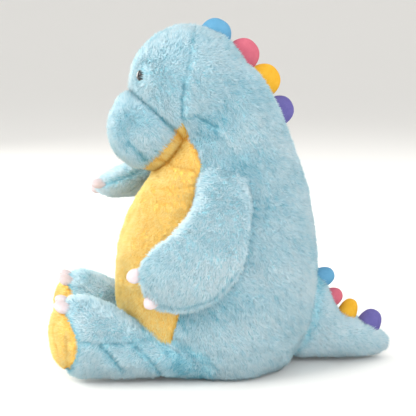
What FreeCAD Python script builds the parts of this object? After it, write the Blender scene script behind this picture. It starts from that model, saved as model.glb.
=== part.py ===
import FreeCAD, Part
import math
import os

# Stuffed sitting dinosaur, in millimetres.
# Frame: +Z up, the toy faces -Y, its own left is +X.
# The origin is on the flat seat, in the toy's middle plane.
# Outer sizes are taken over the soft pile of the fabric.

os.makedirs("parts", exist_ok=True)

V = FreeCAD.Vector

PILE_CLOTH = 6.0       # thickness of the long-pile cloth, backing and pile together
FELT = 2.0             # thickness of the smooth cloth on the spikes
GAP = 1.2              # clearance between a limb and the pocket that it sits in
SECTION_POINTS = 16    # points that each soft cross-section is drawn through
FAR = 400.0            # larger than the whole toy

# torso: height, front edge, back edge, half width
TORSO = [
    (0, -72, 58, 79),
    (7, -94, 80, 97),
    (25, -110, 97, 110),
    (60, -122, 111, 118),
    (105, -127, 116, 117),
    (150, -121, 114, 109),
    (195, -102, 107, 98),
    (235, -79, 96, 90),
    (270, -58, 83, 85),
    (305, -45, 68, 80),
    (335, -30, 50, 68),
    (352, -16, 36, 52),
]
TORSO_ROUND = 2.25     # above 2 the horizontal sections are squarer than an ellipse
TORSO_SEAM = 50.0      # where the surface's own join runs, clear of every limb

SEAT_EDGE = 11.0       # height of the seam round the seat cloth

SKULL_CENTRE = V(0, -35, 326)
SKULL_RADII = V(85, 73, 73)
MUZZLE_CENTRE = V(0, -80, 279)
MUZZLE_RADII = V(67, 53, 53)
CHIN_SEAM_POINT = V(0, -56, 283)      # mouth corner, where the chin and muzzle cloths meet
CHIN_SEAM_NORMAL = V(0, 0.748, -0.663)

# edge of the belly cloth seen from the side: y, z from under the head down between the legs
BELLY_EDGE = [
    (-62, 312),
    (-49, 290),
    (-31, 260),
    (-28, 245),
    (-33, 224),
    (-40, 190),
    (-49, 130),
    (-56, 76),
    (-66, 43),
    (-76, 26),
    (-83, 12),
    (-87, 2),
]

EYE_RADIUS = 6.0
EYE_DOME = 3.5
EYE_RIM = 2.0
EYE_CLEARANCE = 12.0   # how far the pile is parted in front of the eye
EYE_PLACE = V(43, -93.5, 340.6)
EYE_FACING = V(0.30, -0.93, 0.10)
SHANK_RADIUS = 2.0
SHANK_LENGTH = 16.0
WASHER_RADIUS = 8.0
WASHER_THICKNESS = 1.5
WASHER_DEPTH = 12.0    # washer's outer face, measured in from the eye's back
FIT = 0.5

# legs: distance ahead of the hip, half width, half height, height of the middle
HIP = V(70, -50, 28.5)
HIP_RADIUS = 41.0
HIP_SWING = 20.0
LEG = [
    (0, 41, 27, 28.5),
    (40, 41, 32.5, 34),
    (70, 42, 41.5, 43),
    (97, 43, 48, 50),
    (115, 43, 50, 52.5),
    (134, 39, 45, 53.5),
    (147, 28, 33, 54),
    (153, 13, 17, 54),
]
SOLE_START = 128.0     # the sole's seam, measured ahead of the hip
FOOT_CLAW_ANGLES = (-20, 22)
FOOT_CLAW_RING = (36.0, 42.0)
FOOT_CLAW_LEVEL = 52.0
FOOT_CLAW_AHEAD = 4.0

# left arm, hanging: rear-to-front sections given as centre x, y, z, half width, half thickness, dip
LEFT_ARM = [
    (99, -5, 243, 14, 9, 0),
    (99, -5, 237, 25, 15, 0),
    (101, -5, 226, 33, 19, 2),
    (121.5, -9, 196, 38, 21, 9),
    (130, -24, 166, 48, 21.5, 12),
    (133, -40, 144, 54, 21.5, 17),
    (133, -57, 124, 50, 20.5, 24),
    (130.5, -69, 111, 39, 17.5, 29),
    (128, -77, 102, 24, 12, 32),
    (127, -81, 97, 9, 6, 33),
]
LEFT_HAND_CLAWS = [
    (V(128, -85, 104), V(0.1, -0.80, -0.65)),
    (V(126, -102, 132), V(0.0, -1.0, -0.25)),
]
LEFT_SHOULDER = V(99, 0, 226)
SHOULDER_RADIUS = 24.0

# right arm, raised forward: centre x, y, z, half width, half thickness, twist from upright
RIGHT_ARM = [
    (-99, 22, 219, 10, 6, 0),
    (-99, 17, 219, 20, 12, 0),
    (-101, 5, 218, 28, 18, 5),
    (-116, -18, 216, 33, 20, 22),
    (-121, -47, 213, 39, 22, 44),
    (-116, -76, 209, 42, 24, 61),
    (-112, -104, 204, 41, 24, 74),
    (-109, -126, 200, 34, 20, 80),
    (-108, -140, 198, 21, 12, 83),
    (-108, -146, 197, 8, 5, 83),
]
RIGHT_PAW_END = V(-108, -144, 197)
RIGHT_PAW_ROUNDING = 0.022   # how fast the paw's edge falls back from its end
RIGHT_HAND_CLAW_OFFSETS = (-13, 13)
RIGHT_SHOULDER = V(-99, 5, 218)
RIGHT_ARM_SEAM_TWIST = 66.0   # roll of the plane that the raised arm's seam lies in

# tail: distance from the front, lowest, highest, half width
TAIL = [
    (52, 24, 86, 20),
    (60, 10, 98, 33),
    (75, 3, 107, 46),
    (93, 1, 112, 50),
    (112, 0.5, 111, 49),
    (121, 0.5, 102, 47),
    (129, 0.5, 84, 45),
    (141, 0.5, 62, 42),
    (163, 0.5, 53, 36),
    (184, 1, 42, 27),
    (197, 4, 34, 17),
    (203, 9, 28, 8),
]
TAIL_ROOT = V(0, 93, 0)
TAIL_RADIUS = 51.0
TAIL_SWING = 12.0
POCKET_REACH = 120.0
LEG_POCKET_TOP = 91.0
TAIL_POCKET_TOP = 114.0
POCKET_BOTTOM = -5.0
LEFT_POCKET_FRONT = -45.0
LEFT_POCKET_LENGTH = 80.0
RIGHT_POCKET_BOTTOM = 184.0
RIGHT_POCKET_LENGTH = 70.0

# spikes from crown to tail tip: colour, base start (y, z), base end (y, z), how far it stands out
SPIKES = [
    ("blue", (-21, 396), (12, 378), 16, "head"),
    ("pink", (14, 377), (40, 348), 18, "head"),
    ("yellow", (39, 349), (61, 315), 20, "torso"),
    ("purple", (61, 314), (77, 282), 17, "torso"),
    ("blue", (120, 111), (129, 88), 13, "tail"),
    ("pink", (129, 85), (139, 63), 14, "tail"),
    ("yellow", (143, 61), (165, 52), 16, "tail"),
    ("purple", (168, 50), (194, 36), 16, "tail"),
]
SPIKE_HALF_THICKNESS = 10.0
SPIKE_ROOT = 7.0       # how far a spike's own middle is sunk under the pile

CLAW_ROOT = 6.0        # how deep a claw is set into its seam
CLAW_REACH = 11.0      # how far it stands out of the pile
CLAW_HALF_WIDTH = 8.0
CLAW_HALF_THICKNESS = 6.5

SOLIDS = {}


def signed_power(value, power):
    """Power of a number that keeps its sign."""
    return math.copysign(abs(value) ** power, value)


def soft_section(centre, wide, thick, half_width, half_thickness, squareness=2.0, start=0.0):
    """Closed smooth cross-section, an ellipse or a squarer one, as a wire that begins at start degrees."""
    points = []
    for step in range(SECTION_POINTS):
        angle = 2.0 * math.pi * step / SECTION_POINTS + math.radians(start)
        across = half_width * signed_power(math.cos(angle), 2.0 / squareness)
        over = half_thickness * signed_power(math.sin(angle), 2.0 / squareness)
        points.append(centre + wide * across + thick * over)
    curve = Part.BSplineCurve()
    curve.interpolate(points, PeriodicFlag=True)
    return Part.Wire([curve.toShape()])


def soft_loft(wires):
    """Smooth stuffed form through its cross-sections."""
    return Part.makeLoft(wires, True, False)


def ellipsoid(centre, radii):
    """Ellipsoid with its axes along X, Y and Z, and its poles at the two X ends."""
    body = Part.makeSphere(1.0, V(0, 0, 0), V(1, 0, 0))
    stretch = FreeCAD.Matrix()
    stretch.scale(radii)
    body = body.transformGeometry(stretch)
    body.translate(centre)
    return body


def half_space(side):
    """Large box on one side of the toy's middle plane."""
    low_x = 0.0 if side > 0 else -FAR
    return Part.makeBox(FAR, 2 * FAR, 2 * FAR, V(low_x, -FAR, -FAR))


def torso_form(inset):
    """Pear-shaped torso; inset pulls every wall in by the cloth's thickness."""
    wires = []
    last = len(TORSO) - 1
    for index, (height, front, back, half_width) in enumerate(TORSO):
        level = height
        if index == 0:
            level = height + inset
        elif index == last:
            level = height - inset
        elif index == 1:
            level = height + 0.6 * inset
        centre = V(0, 0.5 * (front + back), level)
        depth = 0.5 * (back - front) - inset
        wires.append(soft_section(centre, V(1, 0, 0), V(0, 1, 0), half_width - inset, depth,
                                  TORSO_ROUND, TORSO_SEAM))
    return soft_loft(wires)


def leg_form(side, inset):
    """Leg with a rounded root that turns about the upright hip axis."""
    centre_x = side * HIP.x
    wires = []
    root_radius = HIP_RADIUS - inset
    root_height = LEG[0][2] - inset
    for degrees in (80, 62, 40, 18):
        back = root_radius * math.sin(math.radians(degrees))
        part = math.cos(math.radians(degrees))
        centre = V(centre_x, HIP.y + back, HIP.z)
        wires.append(soft_section(centre, V(1, 0, 0), V(0, 0, 1), root_radius * part, root_height * part))
    last = len(LEG) - 1
    for index, (ahead, half_width, half_height, middle) in enumerate(LEG):
        reach = ahead - inset if index == last else ahead
        if index == last - 1:
            reach = ahead - 0.6 * inset
        centre = V(centre_x, HIP.y - reach, middle)
        wide = max(half_width - inset, 4.0)
        tall = max(half_height - inset, 5.0)
        wires.append(soft_section(centre, V(1, 0, 0), V(0, 0, 1), wide, tall))
    return soft_loft(wires)


def left_arm_form(inset):
    """Hanging arm, a flat mitten; each section dips towards the front."""
    wires = []
    last = len(LEFT_ARM) - 1
    for index, (x, y, z, half_width, half_thickness, dip) in enumerate(LEFT_ARM):
        angle = math.radians(dip)
        wide = V(0, math.cos(angle), -math.sin(angle))
        along = V(0, -math.sin(angle), -math.cos(angle))
        shift = 0.0
        if index == 0:
            shift = inset
        elif index == last:
            shift = -inset
        centre = V(x, y, z) + along * shift
        width = max(half_width - inset, 4.0)
        thickness = max(half_thickness - inset, 2.5)
        wires.append(soft_section(centre, wide, V(1, 0, 0), width, thickness))
    return soft_loft(wires)


def right_arm_form(inset):
    """Raised arm, the same mitten twisted so that its edge faces the middle."""
    wires = []
    last = len(RIGHT_ARM) - 1
    for index, (x, y, z, half_width, half_thickness, twist) in enumerate(RIGHT_ARM):
        angle = math.radians(twist)
        wide = V(math.sin(angle), 0, math.cos(angle))
        thick = V(math.cos(angle), 0, -math.sin(angle))
        shift = 0.0
        if index == 0:
            shift = -inset
        elif index == last:
            shift = inset
        elif index == last - 1:
            shift = 0.5 * inset
        centre = V(x, y + shift, z)
        width = max(half_width - inset, 4.0)
        thickness = max(half_thickness - inset, 2.5)
        wires.append(soft_section(centre, wide, thick, width, thickness))
    return soft_loft(wires)


def tail_form(inset):
    """Tail: a broad root that turns about an upright axis, and a tapering end."""
    wires = []
    last = len(TAIL) - 1
    for index, (y, low, high, half_width) in enumerate(TAIL):
        shift = 0.0
        if index == 0:
            shift = inset
        elif index == last:
            shift = -inset
        centre = V(0, y + shift, 0.5 * (low + high))
        tall = max(0.5 * (high - low) - inset, 4.0)
        wide = max(half_width - inset, 4.0)
        wires.append(soft_section(centre, V(1, 0, 0), V(0, 0, 1), wide, tall, 2.2))
    return soft_loft(wires)


def fan_pocket(centre, radius, heading, low_turn, high_turn, bottom, top):
    """Upright pocket for a limb that swings about an upright axis.

    heading is the limb's direction in degrees from +X; low_turn and high_turn are its swing."""
    base = V(centre.x, centre.y, bottom)
    pocket = Part.makeCylinder(radius, top - bottom, base, V(0, 0, 1))
    low = math.radians(heading + low_turn)
    high = math.radians(heading + high_turn)
    low_side = V(math.sin(low), -math.cos(low), 0) * radius
    high_side = V(-math.sin(high), math.cos(high), 0) * radius
    low_far = low_side + V(math.cos(low), math.sin(low), 0) * POCKET_REACH
    high_far = high_side + V(math.cos(high), math.sin(high), 0) * POCKET_REACH
    corners = [base, base + low_side, base + low_far, base + high_far, base + high_side, base]
    fan = Part.Face(Part.makePolygon(corners)).extrude(V(0, 0, top - bottom))
    return pocket.fuse(fan)


def split_sides(shape, name):
    """Left and right cloths, sewn together in the toy's middle plane."""
    SOLIDS[name + "_left"] = shape.common(half_space(1))
    SOLIDS[name + "_right"] = shape.common(half_space(-1))


def half_block(point, normal):
    """Large block on the side of a plane that its normal points to."""
    block = Part.makeBox(2 * FAR, 2 * FAR, FAR, V(-FAR, -FAR, 0))
    block.Placement = FreeCAD.Placement(point, FreeCAD.Rotation(V(0, 0, 1), normal), V(0, 0, 0))
    return block


def belly_block():
    """Block ahead of the belly cloth's edge, the same across the toy's whole width."""
    edge = Part.BSplineCurve()
    edge.interpolate([V(-FAR, y, z) for y, z in BELLY_EDGE])
    top = V(-FAR, *BELLY_EDGE[0])
    bottom = V(-FAR, *BELLY_EDGE[-1])
    front_top = V(-FAR, -FAR, top.z)
    front_bottom = V(-FAR, -FAR, bottom.z)
    front = Part.makePolygon([top, front_top, front_bottom, bottom])
    outline = Part.Wire([edge.toShape()] + front.Edges)
    return Part.Face(outline).extrude(V(2 * FAR, 0, 0))


def claw(place, direction, across):
    """Small stuffed claw, a blunt cone of soft cloth, rooted at a place on the paw."""
    forward = V(direction).normalize()
    side = V(across - forward * across.dot(forward)).normalize()
    up = forward.cross(side)
    profile = ((-CLAW_ROOT, 0.9), (0.0, 1.0), (0.4, 0.96), (0.7, 0.80), (0.9, 0.52), (1.0, 0.2))
    wires = []
    for reach, size in profile:
        ahead = reach if reach <= 0 else reach * CLAW_REACH
        centre = place + forward * ahead
        wires.append(soft_section(centre, side, up, CLAW_HALF_WIDTH * size, CLAW_HALF_THICKNESS * size))
    return soft_loft(wires)


def spike(start, end, height, inset):
    """Rounded flat spike standing on the back's middle seam."""
    base_y = 0.5 * (start[0] + end[0])
    base_z = 0.5 * (start[1] + end[1])
    run = V(0, end[0] - start[0], end[1] - start[1])
    half_run = 0.5 * run.Length
    outward = V(0, -run.z, run.y).normalize()
    middle = V(0, base_y, base_z) - outward * SPIKE_ROOT
    radii = V(SPIKE_HALF_THICKNESS - inset, half_run - inset, height + SPIKE_ROOT - inset)
    body = ellipsoid(V(0, 0, 0), radii)
    tilt = math.degrees(math.atan2(run.z, run.y))
    body.rotate(V(0, 0, 0), V(1, 0, 0), tilt)
    body.translate(middle)
    return body


def make_eye(side, name):
    """Plastic eye: a shallow dome on a shank, held by a washer behind the cloth.

    Returns the recess that the shank and washer need in the cloth and in the filling."""
    place = V(side * EYE_PLACE.x, EYE_PLACE.y, EYE_PLACE.z)
    outward = V(side * EYE_FACING.x, EYE_FACING.y, EYE_FACING.z).normalize()
    placement = FreeCAD.Placement(place, FreeCAD.Rotation(V(0, 0, 1), outward))
    down = V(0, 0, -1)
    dome = Part.makeSphere(EYE_RADIUS, V(0, 0, 0), V(0, 0, 1), 0, 90, 360)
    flatten = FreeCAD.Matrix()
    flatten.scale(V(1, 1, EYE_DOME / EYE_RADIUS))
    dome = dome.transformGeometry(flatten)
    rim = Part.makeCylinder(EYE_RADIUS, EYE_RIM, V(0, 0, 0), down)
    shank = Part.makeCylinder(SHANK_RADIUS, SHANK_LENGTH, V(0, 0, 0), down)
    washer_top = V(0, 0, -WASHER_DEPTH)
    washer = Part.makeCylinder(WASHER_RADIUS, WASHER_THICKNESS, washer_top, down)
    washer = washer.cut(shank)
    front = Part.makeCylinder(EYE_RADIUS, EYE_CLEARANCE)
    cloth_hole = front.fuse(rim).fuse(shank)
    fill_hole = Part.makeCylinder(WASHER_RADIUS + FIT, SHANK_LENGTH + FIT, V(0, 0, 0), down)
    eye = dome.fuse(rim).fuse(shank)
    for shape in (eye, washer, cloth_hole, fill_hole):
        shape.Placement = placement
    SOLIDS["eye_" + name] = eye
    SOLIDS["eye_washer_" + name] = washer
    return cloth_hole, fill_hole


def make_head(skull, muzzle):
    """Head cloths, muzzle and chin cloths, their filling, and the plastic eyes."""
    cloth = V(PILE_CLOTH, PILE_CLOTH, PILE_CLOTH)
    skull_fill = ellipsoid(SKULL_CENTRE, SKULL_RADII - cloth)
    muzzle_fill = ellipsoid(MUZZLE_CENTRE, MUZZLE_RADII - cloth)
    chin_block = half_block(CHIN_SEAM_POINT, CHIN_SEAM_NORMAL)
    halves = {"head_fill": [], "muzzle_fill": [], "muzzle_cloth": [], "chin_cloth": []}
    for side, name in ((1, "left"), (-1, "right")):
        half = half_space(side)
        cloth_hole, fill_hole = make_eye(side, name)
        skull_half = skull.common(half)
        skull_inner = skull_fill.common(half)
        SOLIDS["head_side_" + name] = skull_half.cut(skull_inner).cut(cloth_hole)
        halves["head_fill"].append(skull_inner.cut(fill_hole))
        muzzle_inner = muzzle_fill.common(half)
        snout = muzzle.common(half).cut(muzzle_inner).cut(skull_half)
        halves["muzzle_fill"].append(muzzle_inner.cut(skull_half))
        halves["muzzle_cloth"].append(snout.cut(chin_block))
        halves["chin_cloth"].append(snout.common(chin_block))
    for name, pair in halves.items():
        SOLIDS[name] = pair[0].fuse(pair[1])


def make_torso(skull, muzzle, pockets):
    """Torso cloths and filling, cut back around the head and around each limb's root."""
    outer = torso_form(0.0)
    inner = torso_form(PILE_CLOTH)
    for blocker in [skull, muzzle] + pockets:
        outer = outer.cut(blocker)
        inner = inner.cut(blocker)
    cloth = outer.cut(inner)
    seat_block = Part.makeBox(2 * FAR, 2 * FAR, SEAT_EDGE + 1.0, V(-FAR, -FAR, -1.0))
    SOLIDS["seat_cloth"] = cloth.common(seat_block)
    cloth = cloth.cut(seat_block)
    front = belly_block()
    SOLIDS["belly_cloth"] = cloth.common(front)
    split_sides(cloth.cut(front), "torso_side")
    SOLIDS["torso_fill"] = inner
    return outer


def make_leg(side, name):
    """One leg: inner and outer cloths, sole, filling and two claws."""
    outer = leg_form(side, 0.0)
    inner = leg_form(side, PILE_CLOTH)
    cloth = outer.cut(inner)
    sole_y = HIP.y - SOLE_START
    sole_block = Part.makeBox(2 * FAR, FAR, 2 * FAR, V(-FAR, sole_y - FAR, -FAR))
    SOLIDS["sole_" + name] = cloth.common(sole_block)
    cloth = cloth.cut(sole_block)
    outside = Part.makeBox(FAR, 2 * FAR, 2 * FAR, V(HIP.x, -FAR, -FAR))
    if side < 0:
        outside = Part.makeBox(FAR, 2 * FAR, 2 * FAR, V(-HIP.x - FAR, -FAR, -FAR))
    SOLIDS["leg_outer_cloth_" + name] = cloth.common(outside)
    SOLIDS["leg_inner_cloth_" + name] = cloth.cut(outside)
    SOLIDS["leg_fill_" + name] = inner
    for number, degrees in enumerate(FOOT_CLAW_ANGLES, start=1):
        angle = math.radians(degrees)
        radial = V(math.sin(angle), 0, math.cos(angle))
        place = V(side * HIP.x + radial.x * FOOT_CLAW_RING[0], sole_y - FOOT_CLAW_AHEAD,
                  FOOT_CLAW_LEVEL + radial.z * FOOT_CLAW_RING[1])
        direction = radial * 0.75 + V(0, -1.0, 0)
        tip = claw(place, direction, V(math.cos(angle), 0, -math.sin(angle)))
        SOLIDS["foot_claw_%d_%s" % (number, name)] = tip.cut(outer)


def make_left_arm():
    """Hanging arm: outer and inner cloths, filling and two claws at the paw's edge."""
    outer = left_arm_form(0.0)
    inner = left_arm_form(PILE_CLOTH)
    cloth = outer.cut(inner)
    outside = half_block(V(128, -30, 160), V(1, 0.05, 0.15))
    SOLIDS["arm_outer_cloth_left"] = cloth.common(outside)
    SOLIDS["arm_inner_cloth_left"] = cloth.cut(outside)
    SOLIDS["arm_fill_left"] = inner
    for number, (place, direction) in enumerate(LEFT_HAND_CLAWS, start=1):
        tip = claw(place, direction, direction.cross(V(1, 0, 0)))
        SOLIDS["hand_claw_%d_left" % number] = tip.cut(outer)


def make_right_arm():
    """Raised arm: upper and lower cloths, filling and two claws across the paw's end."""
    outer = right_arm_form(0.0)
    inner = right_arm_form(PILE_CLOTH)
    cloth = outer.cut(inner)
    angle = math.radians(RIGHT_ARM_SEAM_TWIST)
    upper = half_block(V(-114, -80, 208), V(-math.cos(angle), 0.05, math.sin(angle)))
    SOLIDS["arm_upper_cloth_right"] = cloth.common(upper)
    SOLIDS["arm_lower_cloth_right"] = cloth.cut(upper)
    SOLIDS["arm_fill_right"] = inner
    angle = math.radians(RIGHT_ARM[-1][5])
    wide = V(math.sin(angle), 0, math.cos(angle))
    for number, offset in enumerate(RIGHT_HAND_CLAW_OFFSETS, start=1):
        set_back = RIGHT_PAW_ROUNDING * offset * offset
        place = RIGHT_PAW_END + wide * offset + V(0, set_back, 0)
        tip = claw(place, V(0, -1, -0.1) + wide * (0.02 * offset), wide)
        SOLIDS["hand_claw_%d_right" % number] = tip.cut(outer)


def make_tail():
    """Tail: two side cloths and filling."""
    outer = tail_form(0.0)
    inner = tail_form(PILE_CLOTH)
    split_sides(outer.cut(inner), "tail_side")
    SOLIDS["tail_fill"] = inner
    return outer


def make_spikes(bases):
    """Row of rounded spikes along the middle seam, each a felt cover over filling."""
    fills = {"head": [], "torso": [], "tail": []}
    for number, (colour, start, end, height, owner) in enumerate(SPIKES, start=1):
        cover = spike(start, end, height, 0.0)
        fill = spike(start, end, height, FELT)
        cover = cover.cut(fill)
        for base in bases:
            cover = cover.cut(base)
            fill = fill.cut(base)
        SOLIDS["spike_%02d_%s" % (number, colour)] = cover
        fills[owner].append(fill)
    for owner, group in fills.items():
        SOLIDS["spike_fills_" + owner] = Part.makeCompound(group)


def limb_pockets():
    """The room that the legs, the tail and the arm roots turn in."""
    pockets = []
    for side in (1, -1):
        hip = V(side * HIP.x, HIP.y, 0)
        low, high = (-GAP, HIP_SWING) if side > 0 else (-HIP_SWING, GAP)
        pockets.append(fan_pocket(hip, HIP_RADIUS + GAP, -90, low, high, POCKET_BOTTOM, LEG_POCKET_TOP))
    radius, low, high = TAIL_RADIUS + GAP, -TAIL_SWING, TAIL_SWING
    pockets.append(fan_pocket(TAIL_ROOT, radius, 90, low, high, POCKET_BOTTOM, TAIL_POCKET_TOP))
    shoulder_radius = SHOULDER_RADIUS + GAP
    left_base = V(LEFT_SHOULDER.x, LEFT_POCKET_FRONT, LEFT_SHOULDER.z)
    right_base = V(RIGHT_SHOULDER.x, RIGHT_SHOULDER.y, RIGHT_POCKET_BOTTOM)
    pockets.append(Part.makeCylinder(shoulder_radius, LEFT_POCKET_LENGTH, left_base, V(0, 1, 0)))
    pockets.append(Part.makeCylinder(shoulder_radius, RIGHT_POCKET_LENGTH, right_base))
    return pockets


def main():
    skull = ellipsoid(SKULL_CENTRE, SKULL_RADII)
    muzzle = ellipsoid(MUZZLE_CENTRE, MUZZLE_RADII)
    make_head(skull, muzzle)
    torso = make_torso(skull, muzzle, limb_pockets())
    make_leg(1, "left")
    make_leg(-1, "right")
    make_left_arm()
    make_right_arm()
    tail = make_tail()
    make_spikes([skull, torso, tail])
    for name, shape in sorted(SOLIDS.items()):
        shape.exportStep("parts/" + name + ".step")
        print(name, len(shape.Solids), round(shape.Volume), shape.isValid())


main()
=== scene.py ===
import math

import bmesh
import bpy
import numpy as np
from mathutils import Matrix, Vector


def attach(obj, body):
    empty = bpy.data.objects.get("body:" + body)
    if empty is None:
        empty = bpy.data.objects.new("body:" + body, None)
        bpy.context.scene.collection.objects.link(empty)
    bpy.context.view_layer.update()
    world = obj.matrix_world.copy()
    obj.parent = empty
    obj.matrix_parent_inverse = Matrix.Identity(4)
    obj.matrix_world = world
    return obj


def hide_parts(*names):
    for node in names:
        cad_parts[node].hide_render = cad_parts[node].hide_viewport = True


# Looks of a stuffed sitting dinosaur. Lengths below are in millimetres in the row frame,
# and become metres where a mesh is made.

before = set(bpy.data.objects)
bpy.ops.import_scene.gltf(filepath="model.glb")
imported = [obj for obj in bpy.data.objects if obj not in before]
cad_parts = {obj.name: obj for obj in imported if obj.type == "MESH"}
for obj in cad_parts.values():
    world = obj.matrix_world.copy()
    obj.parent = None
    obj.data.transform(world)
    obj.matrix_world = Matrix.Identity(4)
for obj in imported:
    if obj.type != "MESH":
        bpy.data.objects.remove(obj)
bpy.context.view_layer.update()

MM = 0.001
PILE = 6.5  # how far the combed pile stands off its backing cloth
FLOOR_GAP = 0.3  # lowest that pile reaches over the floor
SKIN_LOW = 1.0  # lowest that a skin reaches over the floor
VOXEL = 4.0  # grid of the remeshed forms
ARM_VOXEL = 3.2  # the same for the thinner arms
RING = 48  # points round a lofted section
SECTIONS = 44  # lofted sections along a limb or the tail
TORSO_SECTIONS = 40  # the same along the torso
STUFFING_STEPS = 18  # frames of the cloth simulation
NOISE_WAVES = 14  # waves that make up a random field
FAR_AWAY = 100  # added to a distance that doesn't count
X_AXIS, Y_AXIS, Z_AXIS = (1, 0, 0), (0, 1, 0), (0, 0, 1)

# torso sections, over the pile: height, front, back, half width
TORSO = np.array([
    (1, -72, 58, 79),
    (7, -94, 80, 97),
    (25, -110, 97, 110),
    (60, -122, 111, 118),
    (105, -127, 116, 117),
    (150, -121, 114, 109),
    (195, -102, 107, 98),
    (235, -79, 96, 90),
    (270, -58, 83, 85),
    (305, -45, 68, 80),
    (335, -30, 50, 68),
    (352, -16, 36, 52),
], float)
TORSO_ROUND = 2.25

SKULL = np.array((0, -35, 326.0))
SKULL_RADII = np.array((85, 73, 73.0))
MUZZLE = np.array((0, -80, 279.0))
MUZZLE_RADII = np.array((67, 53, 53.0))
CHIN_POINT = np.array((0, -56, 283.0))
CHIN_NORMAL = np.array((0, 0.748, -0.663))
CHIN_STEP = 3.5  # how far the chin's edge is drawn in under the pile
ON_TORSO, ON_SKULL, ON_MUZZLE = 0, 1, 2  # the forms of the body, as body_fields numbers them
# edge of the yellow belly seen from the side: y, z
BELLY_EDGE = np.array([
    (-62, 312), (-49, 290), (-31, 260), (-28, 245), (-33, 224), (-40, 190), (-49, 130), (-56, 76),
    (-66, 43), (-76, 26), (-83, 12), (-87, 2),
], float)
# seams and folds seen from the side, the same on both sides: how far out from the middle each starts,
# how much shallower it is, then its points y, z
SIDE_LINES = [
    (12, 3.0, [(-31, 394), (-38, 376), (-47, 340)]),
    (12, 1.0, [(-47, 340), (-50, 318), (-50, 297)]),
    (20, 2.0, [(-50, 295), (-34, 298), (-12, 286)]),
    (20, 0.5, [(-107, 266), (-97, 256), (-88, 249)]),
    (25, 1.5, [(-74, 248), (-56, 240), (-36, 238)]),
    (35, 2.5, [(-78, 214), (-58, 217), (-38, 222)]),
    (60, 0.5, [(-102, 48), (-86, 32), (-73, 13)]),
]
LEG_LINES = [
    (70, 2.0, [(-176, 56), (-120, 52), (-64, 50)]),
    (70, 1.0, [(-141, 52), (-129, 38), (-115, 20)]),
    (60, 0.5, [(-102, 48), (-86, 32), (-73, 13)]),
]

# seams: how near they hold the cloth in, and (depth, width) of the grooves drawn afterwards
SEAM_WIDTH = 4.0
CREASE_WIDTH, CREASE_DEPTH = 4.0, 3.8
CREASE_BACK, CREASE_FADE = -38, 14  # in y, where the valleys of the head end and how softly
YELLOW_EDGE = (1.5, 3.0)
FOLD = (3.0, 3.5)
BELLY_BACK = 30  # the yellow cloth's edge has no seam further back than this
SEAT_HEIGHT, SEAT_FADE = 8, 6.0  # the seat is held flat up to here
# where the head runs smoothly into the nape: start in y, softness, width, lowest height, rounds
NAPE_START, NAPE_FADE, NAPE_WIDTH, NAPE_LOW, NAPE_ROUNDS = -46, 12, 14.0, 240, 40

EYE = np.array((43, -93.5, 340.6))
EYE_FACING = np.array((0.30, -0.93, 0.10))
EYE_ZONE = 20  # how far along its axis an eye reaches
EYE_PAD, EYE_PAD_WIDTH = 2.5, 9.0  # padding round the eye
EYE_BARE = 5.5  # radius without pile
CHEEK = EYE + np.array((13, 4, 0))  # padding beside the eye
CHEEK_PAD = (5.0, 10.0)

HIP = np.array((70, -50, 28.5))
HIP_RADIUS = 41.0
LEG = [
    (0, 41, 27, 28.5), (40, 41, 32.5, 34), (70, 42, 41.5, 43), (97, 43, 48, 50), (115, 43, 50, 52.5),
    (134, 39, 45, 53.5), (147, 28, 33, 54), (153, 13, 17, 54),
]
LEG_ROOT_TURNS = (84, 70, 50, 30, 12)  # degrees round the leg's round root
TOE_START, TOE_LENGTH = 100, 50  # where the backing cloth draws in from the sole's pile
SOLE_START = 128.0  # ahead of the hip
# how the sole's edge bows back between its top and bottom: how far, round what height, over what reach
SOLE_BULGE, SOLE_MIDDLE, SOLE_REACH, SOLE_LEAST = 12.0, 50.0, 32.0, -3
SOLE_SEAM, SOLE_SEAM_LEAN, SOLE_SEAM_AHEAD = 92, 0.12, 4  # the upright crease in the sole
PIN_WIDTH = 3.0  # how near a limb's seams hold the cloth in
SIDE_SEAM_PIN = 0.5
SOLE_EDGE, SOLE_CREASE, LEG_FOLD = (2.0, 3.0), (2.0, 2.5), (2.5, 3.5)

LEFT_ARM = [
    (99, -5, 243, 14, 9, 0), (99, -5, 237, 25, 15, 0), (101, -5, 226, 33, 19, 2),
    (121.5, -9, 196, 38, 21, 9), (130, -24, 166, 48, 21.5, 12), (133, -40, 144, 54, 21.5, 17),
    (133, -57, 124, 50, 20.5, 24), (130.5, -69, 111, 39, 17.5, 29), (128, -77, 102, 24, 12, 32),
    (127, -81, 97, 9, 6, 33),
]
RIGHT_ARM = [
    (-99, 22, 219, 10, 6, 0), (-99, 17, 219, 20, 12, 0), (-101, 5, 218, 28, 18, 5),
    (-116, -18, 216, 33, 20, 22), (-121, -47, 213, 39, 22, 44), (-116, -76, 209, 42, 24, 61),
    (-112, -104, 204, 41, 24, 74), (-109, -126, 200, 34, 20, 80), (-108, -140, 198, 21, 12, 83),
    (-108, -146, 197, 8, 5, 83),
]
ROOT_SINK = 26.0  # how far an arm's root is set into the torso, so that no edge shows at the shoulder
ROOT_SHARE = 0.46  # share of the arm over which it comes out again
ROOT_CURVE = 0.6
NEARNESS = 0.15  # weight of plain distance when a point's section is chosen
ARM_SEAM_START, ARM_SEAM_FADE = 0.3, 0.1  # shares of the arm
ARM_SEAM_DEPTH = 2.5
REAR_FADE = 6  # half of the width over which the hanging arm's seam fades in towards its rear
LEFT_SEAM_OVER, LEFT_SEAM_WIDTH, RIGHT_SEAM_WIDTH = 5.0, 2.4, 2.8

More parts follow.
